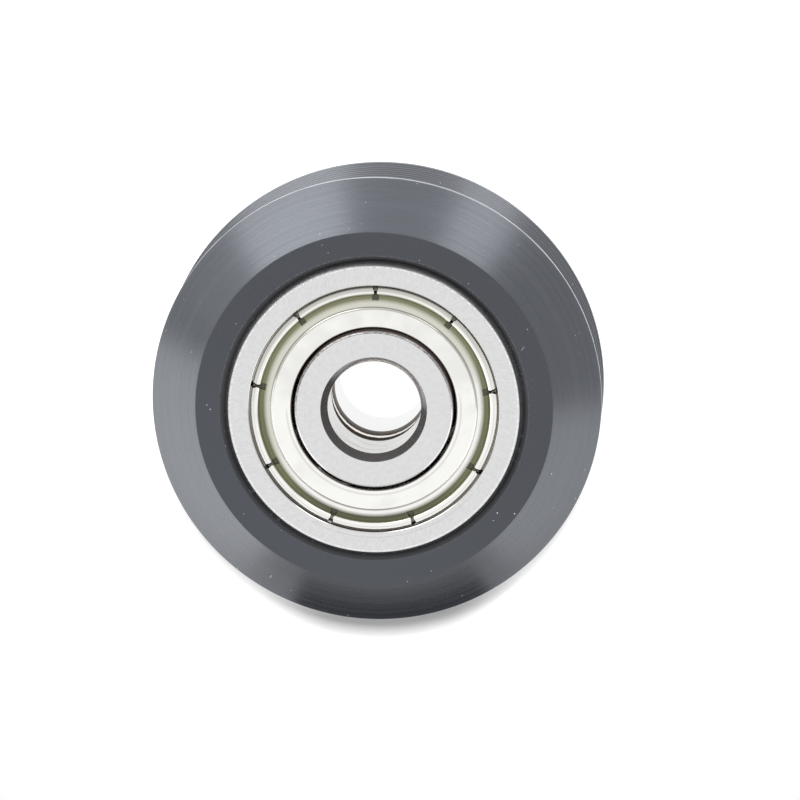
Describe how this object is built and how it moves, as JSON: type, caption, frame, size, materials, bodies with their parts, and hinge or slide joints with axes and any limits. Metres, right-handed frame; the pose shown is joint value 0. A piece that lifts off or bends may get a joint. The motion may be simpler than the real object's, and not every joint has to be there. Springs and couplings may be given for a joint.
{
  "type": "v groove wheel",
  "caption": "Plastic V groove wheel with bevelled flanks, running on two shielded ball bearings with a washer between their inner rings.",
  "frame": {"origin": "on the axis, at the rear bearing's ring faces, which the wheel lies on", "axes": "+Z along the wheel's axis, from the rear side to the front side"},
  "size_m": [0.0242, 0.0242, 0.011],
  "materials": {
    "wheel_plastic": "turned acetal, satin, with fine turning rings",
    "ring_steel": "ground bearing steel",
    "shield_zinc": "zinc plated pressed sheet",
    "cage_steel": "pressed sheet steel",
    "ball_steel": "polished chrome steel",
    "washer_steel": "zinc plated washer"
  },
  "bodies": {
    "hub": {"front_inner_ring": "ring_steel", "rear_inner_ring": "ring_steel", "washer": "washer_steel"},
    "wheel": {"wheel": "wheel_plastic", "front_outer_ring": "ring_steel", "front_outer_shield": "shield_zinc", "front_inner_shield": "shield_zinc", "rear_outer_ring": "ring_steel", "rear_outer_shield": "shield_zinc", "rear_inner_shield": "shield_zinc"},
    "front_cage": {"front_cage_outer_half": "cage_steel", "front_cage_inner_half": "cage_steel", "front_cage_rivets": "cage_steel"},
    "front_ball_1": {"front_ball_1": "ball_steel"},
    "front_ball_2": {"front_ball_2": "ball_steel"},
    "front_ball_3": {"front_ball_3": "ball_steel"},
    "front_ball_4": {"front_ball_4": "ball_steel"},
    "front_ball_5": {"front_ball_5": "ball_steel"},
    "front_ball_6": {"front_ball_6": "ball_steel"},
    "rear_cage": {"rear_cage_outer_half": "cage_steel", "rear_cage_inner_half": "cage_steel", "rear_cage_rivets": "cage_steel"},
    "rear_ball_1": {"rear_ball_1": "ball_steel"},
    "rear_ball_2": {"rear_ball_2": "ball_steel"},
    "rear_ball_3": {"rear_ball_3": "ball_steel"},
    "rear_ball_4": {"rear_ball_4": "ball_steel"},
    "rear_ball_5": {"rear_ball_5": "ball_steel"},
    "rear_ball_6": {"rear_ball_6": "ball_steel"}
  },
  "joints": [
    {"name": "wheel_spin", "type": "hinge", "parent": "hub", "child": "wheel", "pos_m": [0, 0, 0.0055], "axis": [0, 0, 1], "continuous": true},
    {"name": "front_cage_orbit", "type": "hinge", "parent": "hub", "child": "front_cage", "pos_m": [0, 0, 0.0085], "axis": [0, 0, 1], "continuous": true},
    {"name": "front_ball_1_roll", "type": "hinge", "parent": "front_cage", "child": "front_ball_1", "pos_m": [0.00525, 0, 0.0085], "axis": [0, 0, 1], "continuous": true},
    {"name": "front_ball_2_roll", "type": "hinge", "parent": "front_cage", "child": "front_ball_2", "pos_m": [0.00263, 0.00455, 0.0085], "axis": [0, 0, 1], "continuous": true},
    {"name": "front_ball_3_roll", "type": "hinge", "parent": "front_cage", "child": "front_ball_3", "pos_m": [-0.00263, 0.00455, 0.0085], "axis": [0, 0, 1], "continuous": true},
    {"name": "front_ball_4_roll", "type": "hinge", "parent": "front_cage", "child": "front_ball_4", "pos_m": [-0.00525, 0, 0.0085], "axis": [0, 0, 1], "continuous": true},
    {"name": "front_ball_5_roll", "type": "hinge", "parent": "front_cage", "child": "front_ball_5", "pos_m": [-0.00263, -0.00455, 0.0085], "axis": [0, 0, 1], "continuous": true},
    {"name": "front_ball_6_roll", "type": "hinge", "parent": "front_cage", "child": "front_ball_6", "pos_m": [0.00263, -0.00455, 0.0085], "axis": [0, 0, 1], "continuous": true},
    {"name": "rear_cage_orbit", "type": "hinge", "parent": "hub", "child": "rear_cage", "pos_m": [0, 0, 0.0025], "axis": [0, 0, 1], "continuous": true},
    {"name": "rear_ball_1_roll", "type": "hinge", "parent": "rear_cage", "child": "rear_ball_1", "pos_m": [0.00525, 0, 0.0025], "axis": [0, 0, 1], "continuous": true},
    {"name": "rear_ball_2_roll", "type": "hinge", "parent": "rear_cage", "child": "rear_ball_2", "pos_m": [0.00263, 0.00455, 0.0025], "axis": [0, 0, 1], "continuous": true},
    {"name": "rear_ball_3_roll", "type": "hinge", "parent": "rear_cage", "child": "rear_ball_3", "pos_m": [-0.00263, 0.00455, 0.0025], "axis": [0, 0, 1], "continuous": true},
    {"name": "rear_ball_4_roll", "type": "hinge", "parent": "rear_cage", "child": "rear_ball_4", "pos_m": [-0.00525, 0, 0.0025], "axis": [0, 0, 1], "continuous": true},
    {"name": "rear_ball_5_roll", "type": "hinge", "parent": "rear_cage", "child": "rear_ball_5", "pos_m": [-0.00263, -0.00455, 0.0025], "axis": [0, 0, 1], "continuous": true},
    {"name": "rear_ball_6_roll", "type": "hinge", "parent": "rear_cage", "child": "rear_ball_6", "pos_m": [0.00263, -0.00455, 0.0025], "axis": [0, 0, 1], "continuous": true}
  ],
  "couplings": [
    {"joint": "front_cage_orbit", "follows": "wheel_spin", "ratio": 0.65119},
    {"joint": "front_ball_1_roll", "follows": "wheel_spin", "ratio": 1.5024},
    {"joint": "front_ball_2_roll", "follows": "wheel_spin", "ratio": 1.5024},
    {"joint": "front_ball_3_roll", "follows": "wheel_spin", "ratio": 1.5024},
    {"joint": "front_ball_4_roll", "follows": "wheel_spin", "ratio": 1.5024},
    {"joint": "front_ball_5_roll", "follows": "wheel_spin", "ratio": 1.5024},
    {"joint": "front_ball_6_roll", "follows": "wheel_spin", "ratio": 1.5024},
    {"joint": "rear_cage_orbit", "follows": "wheel_spin", "ratio": 0.65119},
    {"joint": "rear_ball_1_roll", "follows": "wheel_spin", "ratio": 1.5024},
    {"joint": "rear_ball_2_roll", "follows": "wheel_spin", "ratio": 1.5024},
    {"joint": "rear_ball_3_roll", "follows": "wheel_spin", "ratio": 1.5024},
    {"joint": "rear_ball_4_roll", "follows": "wheel_spin", "ratio": 1.5024},
    {"joint": "rear_ball_5_roll", "follows": "wheel_spin", "ratio": 1.5024},
    {"joint": "rear_ball_6_roll", "follows": "wheel_spin", "ratio": 1.5024}
  ]
}
